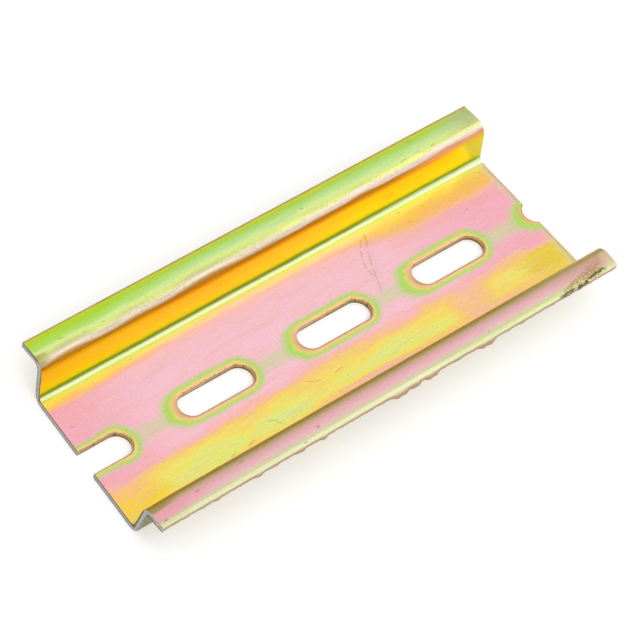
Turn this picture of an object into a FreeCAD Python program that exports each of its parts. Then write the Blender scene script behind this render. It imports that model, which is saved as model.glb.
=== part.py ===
"""Short length of slotted top-hat mounting rail, bent from one sheet of steel.

Frame, in millimetres: +X runs along the rail from its skewed end to its square end, +Y runs
across it and +Z is up. The rail lies on the underside of its base at z = 0, and the origin
is below the middle of its bounding box.
"""
import FreeCAD
import Part
import os
from math import ceil, hypot, radians, tan

# The bent section, seen along the rail
rail_width = 35.0
rail_height = 7.5
sheet_thickness = 1.0
channel_bottom_width = 25.5
channel_top_width = 27.9
base_bend_inner_radius = 0.7
flange_bend_inner_radius = 0.5

# How much narrower the near flange is than the far one
near_flange_shortfall = 0.8

# The length, taken along the longer flange, and how far one end is cut off square
rail_length = 87.1
skewed_end_angle = 4.5

# The row of punched slots: the first whole slot is placed from the square end
slot_length = 13.3
slot_width = 4.1
slot_pitch = 22.5
first_slot_from_square_end = 17.0
slot_edge_radius = 0.2

# How far the sheet runs past both ends before it is cut to length, and how far the punch
# stands out of both faces of the base
cutting_allowance = slot_pitch
punch_overrun = 1.0

# Points closer than this count as the same place
touching = 0.001

channel_middle_y = -near_flange_shortfall / 2
square_end_x = rail_length / 2
skew_slope = tan(radians(skewed_end_angle))


def web_faces():
    """Where a web's outer and inner face would meet z = 0, from the channel's middle, and dy/dz."""
    slope = (channel_top_width - channel_bottom_width) / 2 / rail_height
    outer_foot = channel_bottom_width / 2
    inner_foot = outer_foot - sheet_thickness * hypot(1, slope)
    return outer_foot, inner_foot, slope


def surface_corners(foot, slope, base_level, flange_level):
    """Corners (y, z) of one surface of the sheet, from the near flange's tip to the far one's."""
    bottom_reach = foot + slope * base_level
    top_reach = foot + slope * flange_level
    return [
        (-rail_width / 2, flange_level),
        (channel_middle_y - top_reach, flange_level),
        (channel_middle_y - bottom_reach, base_level),
        (channel_middle_y + bottom_reach, base_level),
        (channel_middle_y + top_reach, flange_level),
        (rail_width / 2, flange_level),
    ]


def rounded_chain(corners, radii):
    """Straight edges through the corners, joined by tangent arcs of the given radii."""
    points = [FreeCAD.Vector(0, y, z) for y, z in corners]
    edges = []
    start = points[0]
    for before, corner, after, radius in zip(points, points[1:], points[2:], radii):
        towards_before = (before - corner).normalize()
        towards_after = (after - corner).normalize()
        half_angle = towards_before.getAngle(towards_after) / 2
        tangent_length = radius / tan(half_angle)
        bisector = (towards_before + towards_after).normalize()
        arc_start = corner + towards_before * tangent_length
        arc_end = corner + towards_after * tangent_length
        centre = corner + bisector * hypot(radius, tangent_length)
        arc_middle = centre - bisector * radius
        edges.append(Part.LineSegment(start, arc_start).toShape())
        edges.append(Part.Arc(arc_start, arc_middle, arc_end).toShape())
        start = arc_end
    edges.append(Part.LineSegment(start, points[-1]).toShape())
    return edges


def bent_section():
    """The closed outline of the bent sheet, as a face in the YZ plane."""
    outer_foot, inner_foot, slope = web_faces()
    flange_underside = rail_height - sheet_thickness
    lower = surface_corners(outer_foot, slope, 0, flange_underside)
    upper = surface_corners(inner_foot, slope, sheet_thickness, rail_height)
    lower_radii = [flange_bend_inner_radius, base_bend_inner_radius + sheet_thickness]
    upper_radii = [flange_bend_inner_radius + sheet_thickness, base_bend_inner_radius]
    edges = rounded_chain(lower, lower_radii + lower_radii[::-1])
    edges += rounded_chain(upper, upper_radii + upper_radii[::-1])
    for lower_tip, upper_tip in ((lower[0], upper[0]), (lower[-1], upper[-1])):
        tip_bottom = FreeCAD.Vector(0, *lower_tip)
        tip_top = FreeCAD.Vector(0, *upper_tip)
        edges.append(Part.LineSegment(tip_bottom, tip_top).toShape())
    outline = Part.Wire(Part.__sortEdges__(edges))
    return Part.Face(outline)


def slot_punch(centre_x):
    """A round-ended punch through the base, centred on the channel's middle line."""
    end_radius = slot_width / 2
    centre_distance = slot_length - slot_width
    height = sheet_thickness + 2 * punch_overrun
    foot_x = centre_x - centre_distance / 2
    foot = FreeCAD.Vector(foot_x, channel_middle_y, -punch_overrun)
    other_foot = foot + FreeCAD.Vector(centre_distance, 0, 0)
    side_corner = foot - FreeCAD.Vector(0, end_radius, 0)
    middle = Part.makeBox(centre_distance, slot_width, height, side_corner)
    rounds = [Part.makeCylinder(end_radius, height, place) for place in (foot, other_foot)]
    return middle.fuse(rounds).removeSplitter()


def slot_centres():
    """Centres on the pitch, from beyond the square end to beyond the skewed end."""
    first = square_end_x - first_slot_from_square_end + slot_pitch
    count = ceil((first + rail_length / 2 + slot_length / 2) / slot_pitch)
    return [first - slot_pitch * number for number in range(count)]


def round_slot_edges(sheet):
    """Round the upper edges of the slots, where the punch drew the sheet in."""
    top_edges = []
    for edge in sheet.Edges:
        across = [abs(vertex.Y - channel_middle_y) for vertex in edge.Vertexes]
        off_top = [abs(vertex.Z - sheet_thickness) for vertex in edge.Vertexes]
        if max(off_top) < touching and max(across) < slot_width / 2 + touching:
            top_edges.append(edge)
    return sheet.makeFillet(slot_edge_radius, top_edges)


def cut_to_length(sheet):
    """Trim the sheet to its plan outline: one end square, the other end skewed."""
    half_width = rail_width / 2
    near_end_x = -rail_length / 2
    far_end_x = near_end_x + rail_width * skew_slope
    corners = [
        FreeCAD.Vector(near_end_x, -half_width, 0),
        FreeCAD.Vector(square_end_x, -half_width, 0),
        FreeCAD.Vector(square_end_x, half_width, 0),
        FreeCAD.Vector(far_end_x, half_width, 0),
    ]
    plan = Part.Face(Part.makePolygon(corners + corners[:1]))
    return sheet.common(plan.extrude(FreeCAD.Vector(0, 0, rail_height)))


def make_rail():
    """Bend the sheet, punch the slots, round their edges and cut the rail to length."""
    section = bent_section()
    section.translate(FreeCAD.Vector(-rail_length / 2 - cutting_allowance, 0, 0))
    sheet = section.extrude(FreeCAD.Vector(rail_length + 2 * cutting_allowance, 0, 0))
    sheet = sheet.cut([slot_punch(centre_x) for centre_x in slot_centres()])
    sheet = round_slot_edges(sheet)
    return cut_to_length(sheet)


os.makedirs("parts", exist_ok=True)
rail = make_rail()
rail.exportStep("parts/rail.step")
print("solids:", len(rail.Solids), "valid:", rail.isValid(), "volume:", round(rail.Volume, 1))
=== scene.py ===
"""Looks of a short length of slotted mounting rail: bent steel sheet, zinc plated and yellow
passivated, so that its thin film shines rose, yellow, orange and green.

Lengths are in metres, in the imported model's frame. The materials count in millimetres, and lay
out their patterns in sheet coordinates: x along the rail, and the distance over the upper
surface from the channel's middle, positive towards the far flange.
"""

from math import atan, hypot, pi, radians, tan

import bpy
from mathutils import Matrix, Vector


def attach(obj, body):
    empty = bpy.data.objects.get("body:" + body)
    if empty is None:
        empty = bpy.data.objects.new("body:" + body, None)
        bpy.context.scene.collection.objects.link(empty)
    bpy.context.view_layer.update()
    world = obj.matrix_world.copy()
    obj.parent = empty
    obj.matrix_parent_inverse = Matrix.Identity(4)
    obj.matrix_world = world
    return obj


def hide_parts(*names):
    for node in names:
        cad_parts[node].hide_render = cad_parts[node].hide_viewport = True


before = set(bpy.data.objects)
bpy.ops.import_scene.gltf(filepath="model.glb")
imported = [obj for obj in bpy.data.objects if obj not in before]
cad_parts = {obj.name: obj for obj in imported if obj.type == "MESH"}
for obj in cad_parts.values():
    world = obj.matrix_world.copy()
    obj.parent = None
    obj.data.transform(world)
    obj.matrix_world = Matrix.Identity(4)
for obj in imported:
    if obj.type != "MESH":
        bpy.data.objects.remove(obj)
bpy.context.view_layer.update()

MM = 0.001

# The bent section and the row of slots, as in the part's source, except that the bends have
# slightly larger radii here, because they look rounder in the photo
RAIL_WIDTH = 35.0 * MM
RAIL_HEIGHT = 7.5 * MM
SHEET_THICKNESS = 1.0 * MM
CHANNEL_BOTTOM_WIDTH = 25.5 * MM
CHANNEL_TOP_WIDTH = 27.9 * MM
BASE_BEND_INNER_RADIUS = 0.9 * MM
FLANGE_BEND_INNER_RADIUS = 1.1 * MM
NEAR_FLANGE_SHORTFALL = 0.8 * MM
RAIL_LENGTH = 87.1 * MM
SKEWED_END_ANGLE = radians(4.5)
SLOT_LENGTH = 13.3 * MM
SLOT_WIDTH = 4.1 * MM
SLOT_PITCH = 22.5 * MM
FIRST_SLOT_X = RAIL_LENGTH / 2 - 17.0 * MM
MIDDLE_SLOT_X = FIRST_SLOT_X - SLOT_PITCH

CHANNEL_MIDDLE_Y = -NEAR_FLANGE_SHORTFALL / 2
SKEW_SLOPE = tan(SKEWED_END_ANGLE)

# The sheet's upper surface, unrolled from the channel's middle outwards. It lies inside the
# base bends and outside the flange bends.
WEB_SLOPE = (CHANNEL_TOP_WIDTH - CHANNEL_BOTTOM_WIDTH) / 2 / RAIL_HEIGHT
BEND_ANGLE = pi / 2 - atan(WEB_SLOPE)
BASE_BEND_RADIUS = BASE_BEND_INNER_RADIUS
FLANGE_BEND_RADIUS = FLANGE_BEND_INNER_RADIUS + SHEET_THICKNESS
INNER_FOOT = CHANNEL_BOTTOM_WIDTH / 2 - SHEET_THICKNESS * hypot(1, WEB_SLOPE)
BASE_BEND_TANGENT = BASE_BEND_RADIUS * tan(BEND_ANGLE / 2)
FLANGE_BEND_TANGENT = FLANGE_BEND_RADIUS * tan(BEND_ANGLE / 2)
INNER_TOP = INNER_FOOT + WEB_SLOPE * RAIL_HEIGHT
BASE_HALF = INNER_FOOT + WEB_SLOPE * SHEET_THICKNESS - BASE_BEND_TANGENT
WEB_SLANT = (RAIL_HEIGHT - SHEET_THICKNESS) * hypot(1, WEB_SLOPE)
WEB_LENGTH = WEB_SLANT - BASE_BEND_TANGENT - FLANGE_BEND_TANGENT
FAR_FLANGE = RAIL_WIDTH / 2 - CHANNEL_MIDDLE_Y - INNER_TOP - FLANGE_BEND_TANGENT
NEAR_FLANGE = FAR_FLANGE - NEAR_FLANGE_SHORTFALL

BASE_BEND_END = BASE_HALF + BASE_BEND_RADIUS * BEND_ANGLE
WEB_END = BASE_BEND_END + WEB_LENGTH
FLANGE_BEND_END = WEB_END + FLANGE_BEND_RADIUS * BEND_ANGLE
FAR_TIP = FLANGE_BEND_END + FAR_FLANGE
NEAR_TIP = FLANGE_BEND_END + NEAR_FLANGE

# Fine relief of the looks alone: the rolled rims of the slots and the tips, with the share of
# the tips' roll that shows above and below, the crown of the flanges, and the burr
SLOT_EDGE_ROLL = 0.22 * MM
TIP_EDGE_ROLL = 0.12 * MM
TIP_ROLL_ABOVE = 0.8
TIP_ROLL_BELOW = 0.35
FLANGE_CROWN = 0.22 * MM
BURR = 0.42 * MM

# The stretch at the skewed end where the cut pressed the near flange down, and how much of
# the crown it took: more than 1 leaves a hollow
PRESSED_LENGTH = 6 * MM
PRESSED_SHARE = 2.4

# Fineness of the mesh, how far apart two points may be and still be one, and the angle from
# which an edge is shaded sharp
COLUMNS_PER_PITCH = 60
ROWS_ON_SHORT_SIDE = 24
SLOT_CELLS = 5
SAME_POINT = 0.002 * MM
SHARP_ANGLE = radians(38)

# Lumps of burr under the near flange's edge: place along the rail and half length in
# millimetres, and height as a share of the burr's size
BURR_LUMPS = (
    (0.6, 2.4, 1.0), (3.4, 1.6, 0.75), (6.6, 1.9, 0.7), (17.4, 2.3, 0.8), (-14.0, 1.0, 0.45),
    (-18.2, 1.2, 0.4), (-26.0, 1.1, 0.4), (-33.5, 0.9, 0.3), (11.6, 0.8, 0.3), (24.5, 0.9, 0.25),
)


class Field:
    """A number that flows through a node tree, so that a rule can be written as a sum."""

    def __init__(self, tree, socket):
        self.tree = tree
        self.socket = socket

    def math(self, operation, *others, clamp=False):
        values = (self,) + others
        return Field(self.tree, add(self.tree, "ShaderNodeMath", values, operation=operation,
                                    use_clamp=clamp).outputs[0])

    def __add__(self, other):
        return self.math("ADD", other)

    def __mul__(self, other):
        return self.math("MULTIPLY", other)

    def __sub__(self, other):
        return self.math("SUBTRACT", other)

    def __truediv__(self, other):
        return self.math("DIVIDE", other)

    def __pow__(self, other):
        return self.math("POWER", other)

    def __rsub__(self, other):
        return self * -1.0 + other

    def __neg__(self):
        return self * -1.0

    def __abs__(self):
        return self.math("ABSOLUTE")

    __radd__ = __add__
    __rmul__ = __mul__

    def at_least(self, other):
        return self.math("MAXIMUM", other)

    def at_most(self, other):
        return self.math("MINIMUM", other)

    def between(self, low, high):
        """This value, held between the two."""
        return self.at_least(low).at_most(high)

    def share(self):
        """This value, held between 0 and 1."""
        return self.math("ADD", 0.0, clamp=True)

    def sine(self):
        return self.math("SINE")

    def cosine(self):
        return self.math("COSINE")

    def root(self):
        return self.at_least(0.0).math("SQRT")

    def above(self, edge):
        """1 where this value is greater, 0 elsewhere."""
        return self.math("GREATER_THAN", edge)

    def ramp(self, start, end):
        """0 at start and 1 at end, smooth in between."""
        node = add(self.tree, "ShaderNodeMapRange", [self, start, end, 0.0, 1.0],
                   interpolation_type="SMOOTHSTEP")
        return Field(self.tree, node.outputs[0])


def plug(tree, socket, value):
    """Link a socket to what flows in, or set it to a plain value."""
    if isinstance(value, Field):
        value = value.socket
    if isinstance(value, bpy.types.NodeSocket):
        tree.links.new(value, socket)
    else:
        socket.default_value = value


def add(tree, kind, inputs=(), **settings):
    """Add a node, with its settings, and fill its inputs by order or by name."""
    node = tree.nodes.new(kind)
    for name, value in settings.items():
        setattr(node, name, value)
    pairs = inputs.items() if isinstance(inputs, dict) else enumerate(inputs)
    for key, value in pairs:
        if value is not None:
            plug(tree, node.inputs[key], value)
    return node


def new_tree(kind, name, inputs, outputs):
    """A node tree with named sockets, given as name: (type, default value)."""
    tree = bpy.data.node_groups.new(name, kind)
    for socket_name, (socket_type, value) in inputs.items():
        socket = tree.interface.new_socket(socket_name, in_out="INPUT", socket_type=socket_type)
        if value is not None:
            socket.default_value = value
    for socket_name, socket_type in outputs.items():
        tree.interface.new_socket(socket_name, in_out="OUTPUT", socket_type=socket_type)
    return tree


def sizes(**values):
    """Input sockets for lengths and counts, named as written, with spaces."""
    kinds = {int: "NodeSocketInt", float: "NodeSocketFloat"}
    return {name.replace("_", " ").capitalize(): (kinds[type(value)], value)
            for name, value in values.items()}


def read_inputs(tree):
    """The tree's inputs by name: numbers as fields, the rest as sockets."""
    entry = tree.nodes.new("NodeGroupInput")
    found = {}
    for socket in entry.outputs:
        if socket.type in ("VALUE", "INT"):
            found[socket.name] = Field(tree, socket)
        elif socket.name:
            found[socket.name] = socket
    return found


def put_out(tree, *results):
    """Link the results, in order, to the tree's outputs."""
    out = tree.nodes.new("NodeGroupOutput")
    for socket, result in zip(out.inputs, results):
        plug(tree, socket, result)


def own_place(tree):
    """The place of each point, as a vector."""
    return tree.nodes.new("GeometryNodeInputPosition").outputs[0]


def coordinates(tree, place):
    """The three parts of a vector as fields."""
    node = add(tree, "ShaderNodeSeparateXYZ", [place])
    return [Field(tree, output) for output in node.outputs]


def vector(tree, *parts):
    """A vector from its three parts."""
    return add(tree, "ShaderNodeCombineXYZ", parts).outputs[0]


def from_nearest_slot(x, slot_x, pitch):
    """How far a place along the rail lies from the middle of the nearest slot."""
    from_first = x - slot_x
    return from_first - (from_first / pitch).math("ROUND") * pitch


def slot_distance(x, across, slot_x, pitch, length, width):
    """Distance over the base from the edge of the nearest slot, negative inside it."""
    half_straight = (length - width) / 2
    beyond = (abs(from_nearest_slot(x, slot_x, pitch)) - half_straight).at_least(0.0)
    return (beyond * beyond + across * across).root() - width / 2


# The rail's shape


def slot_cell_tree():
    """One pitch of the flat base round a slot: rings from its edge to the cell's sides."""
    tree = new_tree("GeometryNodeTree", "Slot cell", sizes(
        pitch=SLOT_PITCH, base_half=BASE_HALF, slot_length=SLOT_LENGTH, slot_width=SLOT_WIDTH,
        columns=COLUMNS_PER_PITCH, rows=ROWS_ON_SHORT_SIDE, edge_rings=5, rings=14,
        edge_roll=0.25 * MM, ring_growth=1.7), {"Geometry": "NodeSocketGeometry"})
    given = read_inputs(tree)
    columns, rows = given["Columns"], given["Rows"]
    around_count = (columns + rows) * 2
    grid = add(tree, "GeometryNodeMeshGrid", [1.0, 1.0, around_count + 1, given["Rings"] + 1])
    grid_x, grid_y, _ = coordinates(tree, own_place(tree))
    step = (grid_x + 0.5) * around_count
    ring = (grid_y + 0.5) * given["Rings"]
    right = (step / columns).share() - ((step - columns - rows) / columns).share()
    up = ((step - columns) / rows).share() - ((step - columns * 2 - rows) / rows).share()
    side_x = (right - 0.5) * given["Pitch"]
    side_y = (up * 2 - 1) * given["Base half"]
    half_straight = (given["Slot length"] - given["Slot width"]) / 2
    core_x = side_x.between(-half_straight, half_straight)
    out_x = side_x - core_x
    reach = (out_x * out_x + side_y * side_y).root()
    rim = given["Slot width"] / 2
    roll = given["Edge roll"]
    in_roll = (ring / given["Edge rings"]).share()
    growth = ((ring - given["Edge rings"]) / (given["Rings"] - given["Edge rings"])).share()
    grown = growth ** given["Ring growth"] * (reach - rim - roll)
    radius = rim + roll * in_roll ** 2 + grown
    new_place = vector(tree, core_x + out_x / reach * radius, side_y / reach * radius, 0.0)
    shaped = add(tree, "GeometryNodeSetPosition",
                 {"Geometry": grid.outputs[0], "Position": new_place})
    upward = add(tree, "GeometryNodeFlipFaces", [shaped.outputs[0]])
    put_out(tree, upward.outputs[0])
    return tree


def side_strip_tree():
    """One stretch of the sheet beside the base, as a flat grid from start to end across it."""
    tree = new_tree("GeometryNodeTree", "Side strip", sizes(
        pitch=SLOT_PITCH, cells=SLOT_CELLS, columns=COLUMNS_PER_PITCH, middle_x=0.0, start=0.0,
        end=1.0, rows=4), {"Geometry": "NodeSocketGeometry"})
    given = read_inputs(tree)
    length = given["Pitch"] * given["Cells"]
    width = given["End"] - given["Start"]
    grid = add(tree, "GeometryNodeMeshGrid", [
        length, abs(width), given["Cells"] * given["Columns"] + 1, given["Rows"] + 1])
    middle = vector(tree, given["Middle x"], (given["Start"] + given["End"]) / 2, 0.0)
    moved = add(tree, "GeometryNodeTransform", {"Geometry": grid.outputs[0], "Translation": middle})
    put_out(tree, moved.outputs[0])
    return tree


def flat_sheet_tree():
    """The unrolled sheet with its row of slots, flat, before it has a thickness."""
    tree = new_tree("GeometryNodeTree", "Flat sheet", sizes(
        pitch=SLOT_PITCH, cells=SLOT_CELLS, middle_x=0.0, base_half=BASE_HALF,
        base_bend_end=BASE_BEND_END, web_end=WEB_END, flange_bend_end=FLANGE_BEND_END,
        far_tip=FAR_TIP, near_tip=NEAR_TIP, edge_roll=TIP_EDGE_ROLL),
        {"Geometry": "NodeSocketGeometry"})
    given = read_inputs(tree)
    joined = tree.nodes.new("GeometryNodeJoinGeometry")
    cell = add(tree, "GeometryNodeGroup", node_tree=slot_cell_tree())
    first_x = given["Middle x"] - given["Pitch"] * (given["Cells"] - 1) / 2
    row = add(tree, "GeometryNodeMeshLine", {
        "Count": given["Cells"], "Start Location": vector(tree, first_x, 0.0, 0.0),
        "Offset": vector(tree, given["Pitch"], 0.0, 0.0)})
    cells = add(tree, "GeometryNodeInstanceOnPoints",
                {"Points": row.outputs[0], "Instance": cell.outputs[0]})
    base = add(tree, "GeometryNodeRealizeInstances", [cells.outputs[0]])
    tree.links.new(base.outputs[0], joined.inputs[0])
    strip = side_strip_tree()
    for side, tip in ((1, given["Far tip"]), (-1, given["Near tip"])):
        # Where each stretch starts and ends across the sheet, and its rows of faces
        stretches = (
            (given["Base half"], given["Base bend end"], 9),
            (given["Base bend end"], given["Web end"], 3),
            (given["Web end"], given["Flange bend end"], 12),
            (given["Flange bend end"], tip - given["Edge roll"], 5),
            (tip - given["Edge roll"], tip, 3),
        )
        for start, end, rows in stretches:
            piece = add(tree, "GeometryNodeGroup", {
                "Middle x": given["Middle x"], "Start": start * side, "End": end * side,
                "Rows": rows}, node_tree=strip)
            tree.links.new(piece.outputs[0], joined.inputs[0])
    merged = add(tree, "GeometryNodeMergeByDistance",
                 {"Geometry": joined.outputs[0], "Distance": SAME_POINT})
    put_out(tree, merged.outputs[0])
    return tree


def thickened(tree, flat, thickness):
    """The flat sheet raised to a closed slab."""
    raised = add(tree, "GeometryNodeExtrudeMesh", {
        "Mesh": flat, "Offset": vector(tree, 0.0, 0.0, 1.0), "Offset Scale": thickness,
        "Individual": False}, mode="FACES")
    underside = add(tree, "GeometryNodeFlipFaces", [flat])
    both = tree.nodes.new("GeometryNodeJoinGeometry")
    tree.links.new(raised.outputs[0], both.inputs[0])
    tree.links.new(underside.outputs[0], both.inputs[0])
    slab = add(tree, "GeometryNodeMergeByDistance",
               {"Geometry": both.outputs[0], "Distance": SAME_POINT})
    return slab.outputs[0]


def rolled_drop(radius, distance):
    """How far a rounded rim lies below its face, at a distance from the edge."""
    short = (radius - distance).at_least(0.0)
    return radius - (radius ** 2 - short ** 2).root()


def burr_share(tree, x, seed):
    """Height of the burr along the rail, as a share of its size: ragged, with lumps."""
    ragged = add(tree, "ShaderNodeTexNoise", {
        "Vector": vector(tree, x / MM, 0.0, seed), "Scale": 0.9, "Detail": 4.0,
        "Roughness": 0.65}, noise_dimensions="3D")
    ragged = Field(tree, ragged.outputs[0])
    peaks = ragged - 0.44
    found = peaks.at_least(0.0)
    for at_x, half_length, height in BURR_LUMPS:
        lump = 1 - abs(x - at_x * MM).ramp(0.3 * half_length * MM, half_length * MM)
        found = found.at_least(lump * (ragged * 1.2 + 0.35) * height)
    return found


def edge_shift(tree, given, place):
    """How far the rims sink where they are rolled, and the burr hangs out and down."""
    x, across, level = coordinates(tree, place)
    on_top = level.above(given["Sheet thickness"] / 2)
    from_slot = slot_distance(x, across, given["First slot x"], given["Slot pitch"],
                              given["Slot length"], given["Slot width"])
    from_near_tip = given["Near tip"] + across
    from_tip = (given["Far tip"] - across).at_most(from_near_tip)
    slot_drop = rolled_drop(given["Slot edge roll"], from_slot)
    tip_drop = rolled_drop(given["Tip edge roll"], from_tip)
    sink = (on_top * (slot_drop + tip_drop * TIP_ROLL_ABOVE)
            - (1 - on_top) * tip_drop * TIP_ROLL_BELOW)
    below_tip = (1 - on_top) * (1 - (from_near_tip / given["Tip edge roll"]).share())
    burr = given["Burr"] * burr_share(tree, x, given["Burr seed"]) * below_tip
    return vector(tree, 0.0, -burr, -sink - burr)


def bent_place(tree, given):
    """Where a point of the flat slab lies once the slab is bent round its four bend lines."""
    x, across, level = coordinates(tree, own_place(tree))
    side = across.math("SIGN")
    reach = abs(across)
    depth = given["Sheet thickness"] - level
    angle = given["Bend angle"]
    base_radius, flange_radius = given["Base bend radius"], given["Flange bend radius"]
    first_turn = ((reach - given["Base half"]) / (base_radius * angle)).share()
    web_length = given["Web end"] - given["Base bend end"]
    up_web = (reach - given["Base bend end"]).between(0.0, web_length)
    second_turn = ((reach - given["Web end"]) / (flange_radius * angle)).share()
    along_flange = (reach - given["Flange bend end"]).at_least(0.0)
    still_to_turn = angle * (1 - second_turn)
    out = (reach.at_most(given["Base half"]) + base_radius * (angle * first_turn).sine()
           + up_web * angle.cosine() + flange_radius * (angle.sine() - still_to_turn.sine())
           + along_flange)
    rise = (base_radius * (1 - (angle * first_turn).cosine()) + up_web * angle.sine()
            + flange_radius * (still_to_turn.cosine() - angle.cosine()))
    heading = angle * (first_turn - second_turn)
    past_web = ((reach - given["Web end"]) / (given["Near tip"] - given["Web end"])).share()
    pressed = (x + given["Rail length"] / 2).ramp(PRESSED_LENGTH, 0.0) * (1 - side) / 2
    arch = past_web * (1 - past_web) * 4
    crown = given["Flange crown"] * arch * (1 - pressed * PRESSED_SHARE)
    y = given["Channel middle y"] + side * (out + depth * heading.sine())
    z = given["Sheet thickness"] + rise - depth * heading.cosine() + crown
    return vector(tree, x, y, z)


def skewed_end_x(given, y):
    """Where the skewed end lies, at a place across the rail."""
    return (y + given["Rail width"] / 2) * given["Skew slope"] - given["Rail length"] / 2


def cutting_block(tree, given):
    """The block that the rail is cut to: square at one end, skewed at the other."""
    block = add(tree, "GeometryNodeMeshCube", {"Size": (2.0, 2.0, 2.0)})
    corner_x, corner_y, corner_z = coordinates(tree, own_place(tree))
    wide = given["Rail width"]
    skewed_x = skewed_end_x(given, corner_y * wide)
    end_x = corner_x.above(0.0) * (given["Rail length"] / 2 - skewed_x) + skewed_x
    shaped = add(tree, "GeometryNodeSetPosition", {
        "Geometry": block.outputs[0],
        "Position": vector(tree, end_x, corner_y * wide, corner_z * wide)})
    bare = add(tree, "GeometryNodeSetMaterial",
               {"Geometry": shaped.outputs[0], "Material": given["Cut"]})
    return bare.outputs[0]


def on_cut_end(tree, given):
    """1 on the faces that lie in either cut, 0 elsewhere."""
    x, y, _ = coordinates(tree, own_place(tree))
    from_square_end = abs(x - given["Rail length"] / 2)
    gap = from_square_end.at_most(abs(x - skewed_end_x(given, y)))
    return 1 - gap.above(given["Same point"])


def rail_tree(inputs):
    """The whole rail: flat sheet, thickness, rolled and burred edges, bends, ends cut."""
    tree = new_tree("GeometryNodeTree", "Bent rail",
                    {"Geometry": ("NodeSocketGeometry", None), **sizes(**inputs),
                     "Plated": ("NodeSocketMaterial", None), "Cut": ("NodeSocketMaterial", None)},
                    {"Geometry": "NodeSocketGeometry"})
    given = read_inputs(tree)
    sheet = add(tree, "GeometryNodeGroup", {"Middle x": given["Middle x"]},
                node_tree=flat_sheet_tree())
    slab = thickened(tree, sheet.outputs[0], given["Sheet thickness"])
    place = own_place(tree)
    marked = add(tree, "GeometryNodeStoreNamedAttribute", {
        "Geometry": slab, "Name": "sheet", "Value": place},
        data_type="FLOAT_VECTOR", domain="CORNER")
    rolled = add(tree, "GeometryNodeSetPosition",
                 {"Geometry": marked.outputs[0], "Offset": edge_shift(tree, given, place)})
    bent = add(tree, "GeometryNodeSetPosition",
               {"Geometry": rolled.outputs[0], "Position": bent_place(tree, given)})
    coated = add(tree, "GeometryNodeSetMaterial",
                 {"Geometry": bent.outputs[0], "Material": given["Plated"]})

    cut = add(tree, "GeometryNodeMeshBoolean", operation="INTERSECT", solver="EXACT")
    tree.links.new(coated.outputs[0], cut.inputs["Mesh 2"])
    tree.links.new(cutting_block(tree, given), cut.inputs["Mesh 2"])

    smooth = add(tree, "GeometryNodeSetShadeSmooth",
                 {"Geometry": cut.outputs[0], "Shade Smooth": True}, domain="FACE")
    angle = tree.nodes.new("GeometryNodeInputMeshEdgeAngle").outputs[0]
    sharp = Field(tree, angle).above(given["Sharp angle"])
    creased = add(tree, "GeometryNodeSetShadeSmooth", {
        "Geometry": smooth.outputs[0], "Selection": sharp, "Shade Smooth": False},
        domain="EDGE")
    real = add(tree, "GeometryNodeRealizeInstances", [creased.outputs[0]])
    plated = add(tree, "GeometryNodeSetMaterial",
                 {"Geometry": real.outputs[0], "Material": given["Plated"]})
    finished = add(tree, "GeometryNodeSetMaterial", {
        "Geometry": plated.outputs[0], "Material": given["Cut"],
        "Selection": on_cut_end(tree, given)})
    put_out(tree, finished.outputs[0])
    return tree


def evaluated_piece(name, tree, values):
    """Run a geometry tree on an empty object, and return the result as a plain mesh object."""
    holder = bpy.data.objects.new(name + "_nodes", bpy.data.meshes.new(name + "_nodes"))
    bpy.context.scene.collection.objects.link(holder)
    modifier = holder.modifiers.new("Shape", "NODES")
    modifier.node_group = tree
    for item in tree.interface.items_tree:
        if item.in_out == "INPUT" and item.name in values:
            modifier[item.identifier] = values[item.name]
    shown = holder.evaluated_get(bpy.context.evaluated_depsgraph_get())
    mesh = bpy.data.meshes.new_from_object(shown)
    mesh.name = name
    bpy.data.objects.remove(holder)
    piece = bpy.data.objects.new(name, mesh)
    bpy.context.scene.collection.objects.link(piece)
    return piece


def make_rail(plated, cut):
    """The rail as one plain mesh, made from its named sizes."""
    values = dict(
        rail_length=RAIL_LENGTH, rail_width=RAIL_WIDTH, sheet_thickness=SHEET_THICKNESS,
        channel_middle_y=CHANNEL_MIDDLE_Y, base_half=BASE_HALF, bend_angle=BEND_ANGLE,
        base_bend_radius=BASE_BEND_RADIUS, flange_bend_radius=FLANGE_BEND_RADIUS,
        base_bend_end=BASE_BEND_END, web_end=WEB_END, flange_bend_end=FLANGE_BEND_END,
        far_tip=FAR_TIP, near_tip=NEAR_TIP, skew_slope=SKEW_SLOPE, middle_x=MIDDLE_SLOT_X,
        first_slot_x=FIRST_SLOT_X, slot_pitch=SLOT_PITCH, slot_length=SLOT_LENGTH,
        slot_width=SLOT_WIDTH, slot_edge_roll=SLOT_EDGE_ROLL, tip_edge_roll=TIP_EDGE_ROLL,
        burr=BURR, burr_seed=4.2, flange_crown=FLANGE_CROWN, sharp_angle=SHARP_ANGLE,
        same_point=SAME_POINT)
    tree = rail_tree(values)
    return evaluated_piece("slotted_rail", tree, {"Plated": plated, "Cut": cut})


# Materials


def linear(code):
    """A colour written as hexadecimal screen colour, for a node."""
    parts = [int(code[at:at + 2], 16) / 255 for at in (1, 3, 5)]
    light = [part / 12.92 if part <= 0.04045 else ((part + 0.055) / 1.055) ** 2.4
             for part in parts]
    return (*light, 1.0)


def new_material(name):
    """A material, with its node tree and its shader."""
    material = bpy.data.materials.new(name)
    material.use_nodes = True
    tree = material.node_tree
    return material, tree, tree.nodes["Principled BSDF"]


def noise(tree, x, y, seed, detail=2.0, roughness=0.5):
    """Noise between about -0.5 and 0.5 over two fields, whose units set the size of its grain."""
    node = add(tree, "ShaderNodeTexNoise", {
        "Vector": vector(tree, x, y, seed), "Scale": 1.0, "Detail": detail,
        "Roughness": roughness}, noise_dimensions="3D")
    return Field(tree, node.outputs[0]) - 0.5


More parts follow.
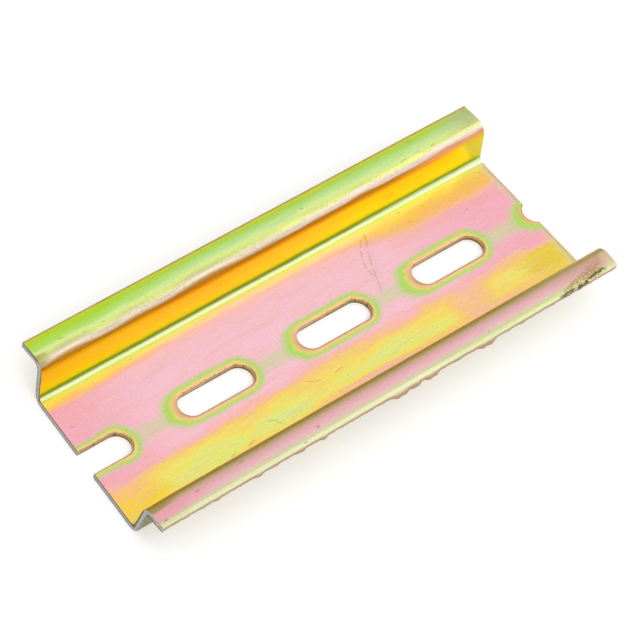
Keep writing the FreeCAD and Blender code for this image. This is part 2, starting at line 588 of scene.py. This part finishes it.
def bands(tree, place, stops):
    """Colours along a line, as (place, screen colour) from the first stop to the last."""
    start, end = stops[0][0], stops[-1][0]
    node = add(tree, "ShaderNodeValToRGB", [(place - start) / (end - start)])
    ramp = node.color_ramp
    while len(ramp.elements) < len(stops):
        ramp.elements.new(1.0)
    for element, (at, code) in zip(ramp.elements, stops):
        element.position = (at - start) / (end - start)
        element.color = linear(code)
    return node.outputs[0]


def layer(tree, below, share, above):
    """One colour laid over another, where share is 1. Either may be a screen colour."""
    below, above = [linear(c) if isinstance(c, str) else c for c in (below, above)]
    node = add(tree, "ShaderNodeMix", {0: share, 6: below, 7: above}, data_type="RGBA")
    return node.outputs[2]


def layers(tree, colour, coats):
    """Coats laid over a colour one after another, each as (share, colour)."""
    for share, above in coats:
        colour = layer(tree, colour, share, above)
    return colour


def grain_group():
    """Fine lines left by rolling, along the first field: a height and a shade round 0."""
    tree = new_tree("ShaderNodeTree", "Rolling grain", sizes(
        along=0.0, across=0.0, fineness=14.0),
        {"Height": "NodeSocketFloat", "Shade": "NodeSocketFloat"})
    given = read_inputs(tree)
    along, across, fineness = given["Along"], given["Across"], given["Fineness"]
    fine = noise(tree, along * 0.5, across * fineness, 2.0, 2.0, 0.6)
    broad = noise(tree, along * 0.12, across * fineness * 0.22, 6.0, 1.0, 0.6)
    pits = noise(tree, along * 5.0, across * 5.0, 8.0, 1.0)
    put_out(tree, fine * 0.6 + broad * 0.3 + pits * 0.25, fine * 0.5 + broad * 0.7)
    return tree


def finish_metal(tree, shader, colour, brightness, roughness, metallic, grain, strength, depth):
    """Give a shader its colour and gloss, and the grain's fine lines as a bump."""
    lit = add(tree, "ShaderNodeHueSaturation", {"Color": colour, "Value": brightness})
    plug(tree, shader.inputs["Base Color"], lit.outputs[0])
    plug(tree, shader.inputs["Roughness"], roughness)
    shader.inputs["Metallic"].default_value = metallic
    bump = add(tree, "ShaderNodeBump", {"Height": grain.outputs["Height"], "Strength": strength,
                                        "Distance": depth})
    plug(tree, shader.inputs["Normal"], bump.outputs[0])


# Colours of the film, from the thinnest that shows on the open base to the thickest
FILM = (
    (0.00, "#E8F084"), (0.12, "#F2EE74"), (0.26, "#FCE66C"), (0.38, "#FFD870"), (0.50, "#FFCC88"),
    (0.62, "#FFC6A4"), (0.76, "#FFC0B6"), (0.88, "#FFC2C6"), (1.00, "#FDC8D4"),
)

# Bands across the far side, in millimetres from its tip: flange, bend, web, foot of the web.
# Besides the film's own colours they hold painted light: painted highlights on the flange near 2.8,
# on the bend near 4.45 and in the foot near 10.7, painted shade on the bend near 5, and a painted
# dark reflection at the foot near 10
FAR_FILM_AND_REFLECTION_BANDS = (
    (0.0, "#A88C50"), (0.2, "#B0A64A"), (0.45, "#D6D24A"), (0.7, "#BDD644"), (1.0, "#B1D852"),
    (1.5, "#B8DF76"), (2.1, "#C6E796"), (2.8, "#DEF29A"), (3.3, "#E2EC84"), (3.7, "#CCD48C"),
    (4.1, "#CEC0A8"), (4.45, "#F0DAC0"), (4.75, "#D0B886"), (4.98, "#BA8438"), (5.25, "#D4861C"),
    (5.6, "#FFB900"), (6.1, "#FFDA00"), (8.6, "#FFEA00"), (9.2, "#FFE600"), (9.6, "#ECE000"),
    (9.95, "#ACB600"), (10.2, "#749C10"), (10.42, "#98C45C"), (10.72, "#F4FFDC"), (11.0, "#DCEEA0"),
    (11.15, "#CEE078"), (11.4, "#E8EC80"), (11.8, "#FFF49C"),
)

# Bands across the near side, in millimetres from its tip: flange, bend, web, foot of the web.
# Besides the film's own colours they hold a painted highlight along the rim, up to 0.5, and a
# painted dark reflection, olive-brown, over the bend from 2.85 to 5
NEAR_FILM_AND_REFLECTION_BANDS = (
    (0.0, "#DEE0B0"), (0.5, "#E2E4B4"), (0.62, "#CFD09A"), (0.78, "#DCCBAA"), (1.1, "#E6C3BA"),
    (1.6, "#EAB9BC"), (2.1, "#E6B0B4"), (2.5, "#DCAAA2"), (2.85, "#C4A680"), (3.15, "#A9A060"),
    (3.45, "#A08A48"), (4.0, "#A87C3C"), (5.0, "#C08A28"), (6.0, "#E8AC1C"), (7.5, "#FFD014"),
    (9.4, "#F4D810"), (9.9, "#B0C018"), (10.3, "#C9DA70"), (10.7, "#F0E878"),
)

# Bands round a slot, in millimetres from its edge
SLOT_BANDS = (
    (0.0, "#C89C70"), (0.07, "#DCB084"), (0.16, "#F2C69A"), (0.36, "#F8D29A"), (0.52, "#EADA7E"),
    (0.7, "#CCE070"), (0.92, "#B9E068"), (1.2, "#BDDC7C"), (1.6, "#CCD49C"),
)

# Bands through the sheet at a cut end, from its outer surface to its inner one, which the cut
# rolled over: grey steel, then a brown line
CUT_BANDS = (
    (0.0, "#6E6C68"), (0.12, "#90908C"), (0.45, "#A8A6A0"), (0.62, "#BAB6AE"), (0.72, "#948A7E"),
    (0.84, "#5E5242"), (1.0, "#524430"),
)

# Bands down a tip's face, in millimetres above its lower edge
TIP_BANDS = (
    (0.0, "#B08A72"), (0.3, "#AC8B70"), (0.5, "#B2997A"), (0.7, "#C5B18F"), (0.9, "#DAD0AE"),
)

# Long patches of another film thickness on the near half of the base: place along and across
# the sheet, half their length and width, and the change in the film's order
BASE_PATCHES = (
    (-27.5, -9.0, 8.0, 2.2, -0.26), (-12.5, -8.6, 6.5, 1.9, -0.28), (0.5, -8.4, 5.5, 1.1, -0.2),
    (9.5, -8.0, 6.0, 1.7, -0.28), (17.5, -8.5, 4.0, 1.0, -0.2), (33.5, -7.2, 5.0, 0.9, -0.1),
    (39.5, -7.8, 6.0, 2.4, -0.18), (-41.0, -7.6, 4.5, 2.8, 0.24), (24.5, -7.6, 4.5, 2.4, 0.24),
    (4.0, -10.4, 12.0, 0.9, 0.34), (27.0, -10.2, 9.0, 1.2, 0.2),
)

# Tints over the far side's bands: where along the rail they start and are full, where across it
# they lie in millimetres from the tip, and how much of the colour is laid on. The pale pink tint
# over the bend, from 3.9 to 4.7, and the two pale tints in the foot, from 10.3 and 10.6, widen the
# painted highlights there
FAR_TINTS = (
    (-8.0, -30.0, 0.5, 2.4, "#B2E014", 0.55), (34.0, 43.0, 0.2, 3.4, "#BCBE90", 0.6),
    (-2.0, 14.0, 3.9, 4.7, "#F2DACC", 0.6), (24.0, 36.0, 4.7, 5.4, "#ECA27E", 0.8),
    (-10.0, 22.0, 5.9, 9.3, "#FFF600", 0.65), (-16.0, -34.0, 5.4, 9.4, "#FFE800", 0.5),
    (14.0, 26.0, 10.3, 11.0, "#D8F0B8", 0.5), (36.0, 43.0, 10.6, 12.0, "#E6ECC8", 0.6),
    (-38.4, -41.0, 3.0, 4.7, "#A89E58", 0.85), (-38.0, -41.5, 11.0, 11.6, "#DCC800", 0.6),
)

# The same over the near side's bands, from the near tip
NEAR_TINTS = (
    (4.0, 16.0, 0.1, 0.9, "#C6D48C", 0.6), (-38.0, -41.5, 2.6, 3.5, "#948A3C", 0.6),
    (-30.0, -41.0, 0.9, 2.4, "#F0A0AC", 0.6), (28.0, 40.0, 1.0, 3.0, "#C8A480", 0.45),
)

# Scratches and specks: both ends along and across the sheet, and the width, in millimetres
BASE_SCRATCHES = (
    (-1.9, -6.9, 0.15, -6.55, 0.16), (-6.3, -5.8, -5.2, -6.5, 0.12), (-5.3, -6.5, -4.2, -6.8, 0.12),
    (-28.2, -10.6, -26.4, -10.45, 0.14), (-24.1, -10.2, -22.9, -10.05, 0.16),
    (-20.7, -10.1, -19.2, -9.65, 0.16), (-15.6, -8.3, -14.6, -8.55, 0.14),
    (-14.9, -8.2, -13.9, -9.9, 0.14), (0.3, -4.8, 0.45, -4.7, 0.14), (-0.4, -8.2, -0.2, -8.1, 0.14),
    (25.4, 10.7, 26.1, 10.6, 0.14), (25.8, 8.5, 26.4, 8.4, 0.14), (29.5, 9.8, 30.2, 9.7, 0.12),
    (-40.4, 5.9, -39.8, 5.7, 0.16), (-33.9, 8.7, -33.5, 8.65, 0.12), (35.0, 5.7, 35.6, 5.6, 0.12),
    (29.8, 6.0, 30.1, 5.8, 0.12), (-25.9, 10.7, -25.4, 10.6, 0.12), (41.5, 10.1, 42.0, 9.9, 0.14),
)
SIDE_SCRATCHES = (
    (23.1, 14.98, 24.0, 15.05, 0.13), (24.0, 14.85, 25.5, 14.7, 0.16),
    (23.7, 14.4, 25.0, 14.2, 0.14), (25.2, 14.3, 26.0, 14.1, 0.12),
    (27.4, 19.1, 28.9, 19.25, 0.14), (30.6, 19.4, 31.6, 19.45, 0.12),
    (33.7, 19.2, 34.3, 19.2, 0.16), (31.2, 21.9, 31.5, 21.4, 0.14),
    (-36.4, 20.4, -35.5, 20.0, 0.16), (-32.6, 19.3, -32.0, 19.2, 0.14),
    (-29.3, 19.3, -28.7, 19.3, 0.14), (-39.9, 19.2, -39.3, 19.1, 0.12),
    (-36.0, -19.7, -35.4, -19.6, 0.22), (-27.7, -19.2, -27.1, -19.1, 0.2),
    (16.6, -20.4, 17.4, -20.3, 0.1), (18.0, -20.9, 18.5, -20.6, 0.1),
)
PALE_SCRATCH = ((-14.6, -8.6, -8.5, -9.0, 0.3),)
RED_SPECKS = (
    (8.85, 20.25, 9.0, 20.2, 0.2), (-14.4, -20.4, -14.0, -20.3, 0.2),
    (-17.6, -21.4, -17.1, -21.5, 0.16), (-42.5, -21.0, -42.1, -20.9, 0.2),
)

# Two long scratches beside each other, each a chain of places on the sheet, and their width
LONG_SCRATCHES = (
    ((18.74, 10.48), (17.19, 7.78), (15.61, 4.9), (14.71, 2.59), (13.81, 0.52)),
    ((17.48, 9.78), (16.18, 8.15), (15.25, 6.79), (14.62, 4.78), (14.81, 3.47)),
)
LONG_SCRATCH_WIDTH = 0.22

# Noises over the sheet: how fast each changes along and across it, seed, detail, roughness
NOISES = {
    "drift": (0.06, 0.14, 1.3, 1.0, 0.5), "patches": (0.15, 0.5, 5.1, 3.0, 0.6),
    "streaks": (0.3, 4.0, 9.7, 2.0, 0.5), "mottle": (2.0, 3.4, 12.1, 2.0, 0.65),
    "dust": (3.4, 5.0, 15.5, 2.0, 0.65), "breaks": (2.6, 2.6, 3.3, 1.0, 0.5),
    "haze": (7.0, 7.0, 5.5, 1.0, 0.5), "torn": (1.9, 1.9, 21.0, 2.0, 0.7),
}


class Sheet:
    """Where a point lies on the sheet, in millimetres, and the noises that vary the film."""

    def __init__(self, tree):
        self.tree = tree
        node = add(tree, "ShaderNodeAttribute", attribute_name="sheet")
        parts = coordinates(tree, node.outputs["Vector"])
        self.x, self.across, self.level = [part / MM for part in parts]
        self.from_far_tip = FAR_TIP / MM - self.across
        self.from_near_tip = NEAR_TIP / MM + self.across
        self.drift = self.named_noise("drift")
        self.patches = self.named_noise("patches")
        self.streaks = self.named_noise("streaks")
        self.mottle = self.named_noise("mottle")
        self.torn = self.named_noise("torn")
        self.wisps = noise(tree, self.x * 0.1 + self.across * 0.03,
                           self.across * 1.1 - self.x * 0.12, 14.2, 3.0, 0.65)
        self.wander = self.streaks * 0.2 + self.patches * 0.3

    def named_noise(self, name):
        """One of the noises over the sheet."""
        along, aside, seed, detail, roughness = NOISES[name]
        return noise(self.tree, self.x * along, self.across * aside, seed, detail, roughness)


def turned(x, y, along, aside, at_x, at_y):
    """How far a place lies from a middle, measured along one direction."""
    offset = -at_x * along - at_y * aside
    return abs(x.math("MULTIPLY_ADD", along, y.math("MULTIPLY_ADD", aside, offset)))


def scratches(sheet, lines):
    """1 on any of the straight scratches, 0 elsewhere."""
    found = 0.0
    for start_x, start_across, end_x, end_across, width in lines:
        run_x, run_across = end_x - start_x, end_across - start_across
        length = hypot(run_x, run_across)
        half_length = length / 2 + width
        to_x, to_across = run_x / length, run_across / length
        middle = ((start_x + end_x) / 2, (start_across + end_across) / 2)
        endwise = turned(sheet.x, sheet.across, to_x / half_length, to_across / half_length,
                         *middle)
        aside = turned(sheet.x, sheet.across, -to_across / width, to_x / width, *middle)
        found = endwise.at_least(aside).ramp(1.0, 0.3).at_least(found)
    return found


def patch(sheet, at_x, at_across, half_length, half_width, fray):
    """1 inside a long soft patch, 0 outside it. The fray makes its edge uneven."""
    off_x = sheet.x.math("MULTIPLY_ADD", 1 / half_length, -at_x / half_length)
    off_across = sheet.across.math("MULTIPLY_ADD", 1 / half_width, -at_across / half_width)
    reach = off_x.math("MULTIPLY_ADD", off_x, off_across * off_across).math("SQRT") + fray
    return reach.ramp(1.3, 0.35)


def stripe(place, start, end, soft):
    """1 between two places, with soft ends."""
    return place.ramp(start - soft, start + soft) * (1 - place.ramp(end - soft, end + soft))


def film_colour(sheet):
    """The open base: rose in the middle, then peach and yellow towards both bends, with a strip of
    painted light beside the far bend.
    """
    tree, x, across, drift = sheet.tree, sheet.x, sheet.across, sheet.drift
    patches = sheet.patches + sheet.wisps * 0.25
    streaks = sheet.streaks + sheet.mottle * 0.8
    from_far_bend = BASE_HALF / MM - across
    from_near_bend = BASE_HALF / MM + across
    # The order in the film's colours: 0 for the yellow at the bends, 1 for the rose
    far_width = 2.0 + x.ramp(6.0, 30.0) * 4.6 + (1 - x.ramp(-42.0, -30.0)) * 0.8
    from_yellow = from_far_bend + drift * 2.5 + patches - stripe(x, -34.0, -21.0, 4.0) * 0.4
    far_order = 0.16 + from_yellow.ramp(-0.2, far_width) * 0.84
    near_order = 0.3 + (from_near_bend + patches * 3.0 + drift * 2.0).ramp(4.2, 7.9) * 0.7
    order = far_order.at_most(near_order)
    fray = patches * 1.6 + streaks * 0.6
    for *outline, change in BASE_PATCHES:
        order = order + change * patch(sheet, *outline, fray)
    order = (order + patches * (0.14 + order.ramp(0.5, 0.8) * 0.3) + streaks * 0.12).share()

    # Rosier and more amber towards both ends, yellow and golden in the near corners, a creamy strip
    # of painted light beside the far bend that brightens the base where the far web shades it, and
    # pale with a brown line at the square end
    ends = (1 - x.ramp(-42.0, -24.0)) + x.ramp(16.0, 38.0) * 0.9
    amber = order.ramp(0.1, 0.3) * (1 - order.ramp(0.5, 0.8))
    warm = x.ramp(14.0, 30.0) * across.ramp(2.0, 8.0) + (1 - x.ramp(-42.0, -32.0)) * 0.5
    corner = patch(sheet, -40.0, -10.2, 6.0, 3.2, patches * 1.6 + streaks)
    # Painted light: a pale strip beside the far bend, brightening the base where the far web shades
    # it
    painted_light_strip = stripe(from_far_bend + patches, 0.1, 1.1, 0.4) * stripe(x, -24.0, 20.0, 8.0)
    golden = patch(sheet, 40.0, -7.6, 5.5, 3.4, patches * 1.6 + streaks)
    return layers(tree, bands(tree, order, FILM), [
        ((ends * order.ramp(0.62, 0.9)).share() * 0.6, "#F7A3B0"),
        ((amber * warm).share() * 0.6, "#FFC04C"),
        (corner * (1 - order.ramp(0.6, 0.85)) * 0.75, "#FFDC38"),
        (painted_light_strip * 0.7, "#FFE6C4"),
        (golden * (1 - order.ramp(0.45, 0.7)) * 0.7, "#F0C42C"),
        (x.ramp(41.9, 42.8) * (0.55 + patches), "#DCD6AC"),
        (stripe(x + streaks, 43.1, 43.4, 0.08) * 0.32, "#8E7048"),
    ])


def slot_halo(sheet):
    """The rim colours round each slot, how much of them shows, and 1 on a slot's right half."""
    tree, x, across = sheet.tree, sheet.x, sheet.across
    slot_x, pitch = FIRST_SLOT_X / MM, SLOT_PITCH / MM
    length, width = SLOT_LENGTH / MM, SLOT_WIDTH / MM
    distance = slot_distance(x, across, slot_x, pitch, length, width)
    from_slot = from_nearest_slot(x, slot_x, pitch)
    past_end = (abs(from_slot) - (length - width) / 2).at_least(0.0)
    endwise = past_end / (distance + width / 2).at_least(0.5)
    right_half = from_slot.above(0.0)
    at_left, at_right = endwise ** 2 * (1 - right_half), endwise ** 2 * right_half

    # The rim is wider at a slot's left end and near side, narrower at its right end and at
    # both ends of the row, and frayed on its outside
    stretch = 1 + at_left * (0.95 + x.ramp(10.0, 18.0) * 0.3)
    place = distance / stretch + at_right * 0.32 * distance.ramp(0.05, 0.3)
    near_side = across.ramp(0.8, -0.8)
    place = place - near_side * 0.16 * distance.ramp(0.0, 0.2)
    place = place + (x.ramp(38.0, 40.0) + x.ramp(-36.0, -39.0)) * distance.ramp(0.1, 0.5) * 0.4
    place = place + (sheet.patches * 0.6 + sheet.streaks * 0.4) * distance.ramp(0.35, 1.3)

    at_rim = distance.ramp(0.3, 0.12)
    brown = (near_side + x.ramp(38.0, 40.0)).share() * at_rim
    colour = layers(tree, bands(tree, place, SLOT_BANDS), [
        (at_left * distance.ramp(1.3, 0.7) * 0.45, "#DCA468"),
        (at_left * stripe(place, 0.72, 1.3, 0.24) * 0.42, "#A8E040"),
        (brown * 0.8, "#B8824C"),
        (sheet.torn.ramp(0.07, 0.16) * at_rim * 0.75, "#5E4A2C"),
    ])
    return colour, 1 - place.ramp(0.7, 1.75 + at_left * 0.3 + at_right * 0.8), right_half


def long_scratches(sheet):
    """The two long scratches and the haze between them."""
    lines = [line[at] + line[at + 1] + (LONG_SCRATCH_WIDTH,)
             for line in LONG_SCRATCHES for at in range(len(line) - 1)]
    on_lines = scratches(sheet, lines) * sheet.named_noise("breaks").ramp(-0.3, 0.12)
    off_middle = abs(sheet.x - 13.6 - sheet.across * 0.48)
    fog = (1 - off_middle.ramp(0.3, 1.7)) * stripe(sheet.across, 1.2, 10.0, 1.2)
    return on_lines.at_least(fog * sheet.named_noise("haze").ramp(-0.02, 0.12) * 0.5)


def base_colour(sheet, strands, halo, halo_share):
    """The base with its film, the rims of its slots and its scratches."""
    streaks, patches, wisps = sheet.streaks, sheet.patches, sheet.wisps
    between_slots = (1 - abs(sheet.across + 0.4).ramp(0.3, 2.0)) * (0.9 + streaks + patches)
    return layers(sheet.tree, film_colour(sheet), [
        (wisps.ramp(0.02, 0.3) * 0.5, "#F8B8A4"),
        (wisps.ramp(-0.02, -0.3) * 0.45, "#F2B4C4"),
        ((between_slots * 0.85).share(), "#D8D6AA"),
        (halo_share, halo),
        (scratches(sheet, BASE_SCRATCHES) * 0.34, "#7C7654"),
        (strands * 0.5, "#B49468"),
        (scratches(sheet, PALE_SCRATCH) * 0.35, "#D6DCE0"),
    ])


def tinted(sheet, colour, place, tints):
    """A side's bands with its tints laid over them."""
    for x_start, x_full, start, end, tint, share in tints:
        laid = sheet.x.ramp(x_start, x_full) * stripe(place, start, end, 0.2)
        colour = layer(sheet.tree, colour, laid * share, tint)
    return colour


def far_side_colour(sheet):
    """The far web, bend and flange, with an olive corner at the web's square end, and with painted
    highlights, painted shade and a painted dark reflection along its bends.
    """
    tree, x, from_tip, wander = sheet.tree, sheet.x, sheet.from_far_tip, sheet.wander
    sway = noise(tree, x * 0.12, 0.0, 4.4, 0.0) * stripe(from_tip, 2.6, 5.0, 0.6)
    place = from_tip + wander + sway * 1.4 + sheet.wisps * stripe(from_tip, 0.6, 3.2, 0.4)
    colour = tinted(sheet, bands(tree, place, FAR_FILM_AND_REFLECTION_BANDS), place, FAR_TINTS)
    olive = (x - from_tip * 0.7 + wander).ramp(34.2, 36.0) * stripe(from_tip, 5.4, 9.8, 0.2)
    return layer(tree, colour, olive * 0.85, "#D0B600")


def near_side_colour(sheet):
    """The near web, bend and flange, with a painted highlight along the rim and a painted dark
    reflection over the bend.
    """
    from_tip = sheet.from_near_tip
    place = from_tip + sheet.wander * from_tip.ramp(0.3, 1.2)
    return tinted(sheet, bands(sheet.tree, place, NEAR_FILM_AND_REFLECTION_BANDS), from_tip, NEAR_TINTS)


def edge_stain(sheet):
    """Dark dirt along the near rim at the square end, and brown and dark specks beside it."""
    tree, x, from_tip = sheet.tree, sheet.x, sheet.from_near_tip
    dirt = noise(tree, x * 3.2, from_tip * 5.0 + sheet.level * 4.0, 7.7, 3.0, 0.7)
    clumps = noise(tree, x * 0.9, from_tip * 1.5, 3.1, 1.0)
    off_row = from_tip - x.ramp(36.2, 40.0) * 0.5 + dirt * 0.9
    row = stripe(x, 32.0, 41.4, 0.6) * stripe(off_row, -0.2, 0.22, 0.1)
    row = row * (dirt + clumps * 1.8 + 0.1).ramp(-0.02, 0.08)
    below = (from_tip - 0.25) / ((x - 31.0) * 0.23 + 0.1).at_least(0.1)
    spread = stripe(x + dirt, 33.0, 41.2, 0.9) * (1 - (below + dirt).ramp(0.7, 1.1))
    return row, spread * (dirt + 0.06).ramp(0.0, 0.07), spread * dirt.ramp(0.12, 0.2)


def side_marks(sheet, specks, dots):
    """Dust, scratches, specks and worn corners of the two sides, as coats."""
    x, from_far_tip, dust = sheet.x, sheet.from_far_tip, sheet.named_noise("dust")
    on_bend = stripe(from_far_tip, 3.5, 5.0, 0.4) * dust.ramp(0.02, 0.16)
    far_corner = x.ramp(39.5, 42.5) * stripe(from_far_tip, 0.2, 3.6, 0.5) * dust.ramp(0.0, 0.12)
    near_corner = x.ramp(41.6, 42.6) * sheet.from_near_tip.ramp(3.2, 2.6)
    return [
        (on_bend * 0.36, "#A8865C"),
        (far_corner * 0.5, "#A4905C"),
        (scratches(sheet, SIDE_SCRATCHES) * 0.36, "#6E6644"),
        (scratches(sheet, RED_SPECKS) * 0.6, "#A8603C"),
        (near_corner * 0.7, "#DCC8A4"),
        (specks * 0.7, "#A4783E"),
        (dots * 0.7, "#54401E"),
    ]


def underside_colour(sheet):
    """The underside and the outside of the webs: the same film, more olive, and darkened by painted
    shade, most on the near web at the skewed end.
    """
    order = 0.35 + sheet.patches * 1.3 + sheet.drift * 1.2 + sheet.streaks * 0.2
    outer_side = abs(sheet.across).ramp(BASE_HALF / MM, BASE_BEND_END / MM)
    near_corner = outer_side * sheet.x.ramp(-37.0, -42.0) * sheet.across.ramp(0.0, -1.0)
    return layers(sheet.tree, bands(sheet.tree, order.share(), FILM), [
        # Olive, partly the film's own tone and partly painted shade that darkens the underside and
        # the webs' outsides
        (0.4 + outer_side * 0.4, "#A39A48"),
        # Painted shadow on the near web's outside towards the skewed end
        (near_corner * 0.85, "#6A5A14"),
    ])


def slot_wall_colour(sheet, right_half):
    """The slots' walls: painted shade, darker below and paler above, with torn spots."""
    tree = sheet.tree
    lower = layer(tree, "#8E7650", right_half, "#7C6E3C")
    upper = layer(tree, "#D4A878", right_half, "#B8965A")
    # Painted shade deepening down into each slot
    wall = layer(tree, lower, (sheet.level + sheet.patches * 0.3).ramp(0.45, 0.62), upper)
    return layer(tree, wall, sheet.torn.ramp(0.04, 0.13) * 0.7, "#54432A")


def make_plated_steel(grain):
    """Zinc with a yellow passivated film, coloured by the film's thickness over the sheet, and with
    painted light and shade: highlights and dark reflections along the bends, a lighter strip beside
    the far bend, and shade under the sheet and in the slots.
    """
    material, tree, shader = new_material("passivated_zinc")
    sheet = Sheet(tree)
    lines = add(tree, "ShaderNodeGroup", {"Along": sheet.x, "Across": sheet.across},
                node_tree=grain)
    shade = Field(tree, lines.outputs["Shade"])
    strands = long_scratches(sheet)
    halo, halo_share, right_half = slot_halo(sheet)
    row, specks, dots = edge_stain(sheet)
    off_underside = sheet.level.ramp(0.0, 0.02)
    wall = off_underside * (1 - sheet.level.ramp(0.97, 1.0))
    at_tip = abs(sheet.across).above(FLANGE_BEND_END / MM)
    colour = layers(tree, base_colour(sheet, strands, halo, halo_share), [
        (1 - sheet.from_far_tip.ramp(11.2, 11.7), far_side_colour(sheet)),
        (1 - sheet.from_near_tip.ramp(10.2, 10.8), near_side_colour(sheet)),
        *side_marks(sheet, specks, dots),
        (1 - off_underside, underside_colour(sheet)),
        (wall * (1 - at_tip), slot_wall_colour(sheet, right_half)),
        (wall * at_tip, bands(tree, sheet.level + sheet.streaks * 0.4, TIP_BANDS)),
        (row * sheet.level.ramp(0.2, 0.5) * 0.9, "#453822"),
    ])
    finish_metal(tree, shader, colour, brightness=1 + shade * 0.14 + sheet.mottle * 0.26,
                 roughness=0.3 + shade * 0.1 + sheet.patches * 0.06 + strands * 0.1,
                 metallic=0.85, grain=lines, strength=0.5, depth=0.015 * MM)
    shader.inputs["Specular IOR Level"].default_value = 0.3
    return material


def make_cut_steel(grain):
    """Bare cut ends: grey, with the marks of the shear and a rolled-over inner edge."""
    material, tree, shader = new_material("cut_steel")
    place = add(tree, "ShaderNodeTexCoord").outputs["Object"]
    _, y, z = [part / MM for part in coordinates(tree, place)]
    lines = add(tree, "ShaderNodeGroup", {"Along": z, "Across": y, "Fineness": 9.0},
                node_tree=grain)
    shade = Field(tree, lines.outputs["Shade"])
    worn = noise(tree, y * 0.7, z * 1.5, 3.0, 3.0)
    chips = noise(tree, y * 3.0, z * 4.0, 6.5, 2.0)
    outer_half = CHANNEL_BOTTOM_WIDTH / 2 / MM + z * WEB_SLOPE
    into_web = (outer_half - abs(y - CHANNEL_MIDDLE_Y / MM)) / hypot(1, WEB_SLOPE)
    thickness = SHEET_THICKNESS / MM
    level = z.at_most(into_web).at_least(z - RAIL_HEIGHT / MM + thickness) / thickness
    colour = bands(tree, level + shade * 0.25 + worn * 0.3 + chips * 0.5, CUT_BANDS)
    finish_metal(tree, shader, colour, brightness=1 + shade * 0.5 + worn * 0.6 + chips * 1.2,
                 roughness=0.45 + shade * 0.2, metallic=0.6, grain=lines, strength=0.6,
                 depth=0.02 * MM)
    return material


rolling_grain = grain_group()
rail = make_rail(make_plated_steel(rolling_grain), make_cut_steel(rolling_grain))
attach(rail, "root")
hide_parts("rail")

# Floor


def make_floor(half_size, level, glow):
    """A wide white floor under the rail, which keeps a light shadow of it."""
    corners = [(-half_size, -half_size, level), (half_size, -half_size, level),
               (half_size, half_size, level), (-half_size, half_size, level)]
    mesh = bpy.data.meshes.new("floor")
    mesh.from_pydata(corners, [], [(0, 1, 2, 3)])
    floor = bpy.data.objects.new("floor", mesh)
    bpy.context.scene.collection.objects.link(floor)
    material, tree, shader = new_material("white_floor")
    shader.inputs["Base Color"].default_value = (0.76, 0.76, 0.76, 1)
    shader.inputs["Roughness"].default_value = 0.9
    shader.inputs["Specular IOR Level"].default_value = 0.0
    shader.inputs["Emission Color"].default_value = (1, 1, 1, 1)
    path = tree.nodes.new("ShaderNodeLightPath")
    seen = Field(tree, path.outputs["Is Camera Ray"]).at_least(
        Field(tree, path.outputs["Is Glossy Ray"])).at_least(
        Field(tree, path.outputs["Is Transmission Ray"]))
    plug(tree, shader.inputs["Emission Strength"], seen * glow)
    mesh.materials.append(material)


make_floor(half_size=1.5, level=-0.02 * MM, glow=0.34)

# Light, world and camera
world = bpy.data.worlds.new("white_room")
bpy.context.scene.world = world
world.use_nodes = True
sky = world.node_tree.nodes["Background"]
sky.inputs["Color"].default_value = (1, 1, 1, 1)
sky.inputs["Strength"].default_value = 0.92


def soft_lamp(name, place, size, power):
    """A square soft lamp, in metres and watts, aimed at the rail."""
    data = bpy.data.lights.new(name, "AREA")
    data.size = size
    data.energy = power
    lamp = bpy.data.objects.new(name, data)
    bpy.context.scene.collection.objects.link(lamp)
    towards = -Vector(place)
    lamp.matrix_world = (Matrix.Translation(place)
                         @ towards.to_track_quat("-Z", "Y").to_matrix().to_4x4())


soft_lamp("key", (-0.25, -0.5, 0.5), 0.4, 1.1)
soft_lamp("fill", (0.45, -0.2, 0.5), 0.4, 0.4)

# The photo's camera, as found when the rail was fitted to the photo
camera_data = bpy.data.cameras.new("camera")
camera_data.sensor_width = 36.0
camera_data.lens = 222.76
camera_data.clip_start = 0.01
camera = bpy.data.objects.new("camera", camera_data)
bpy.context.scene.collection.objects.link(camera)
aim = Vector((0.72231, -0.10207, 3.75)) * MM
place = Vector((-293.2122, -204.7878, 446.4473)) * MM
roll = radians(18.9224)
track = (aim - place).to_track_quat("-Z", "Y").to_matrix().to_4x4()
camera.matrix_world = Matrix.Translation(place) @ track @ Matrix.Rotation(roll, 4, "Z")
bpy.context.scene.camera = camera
bpy.context.scene.view_settings.view_transform = "Standard"
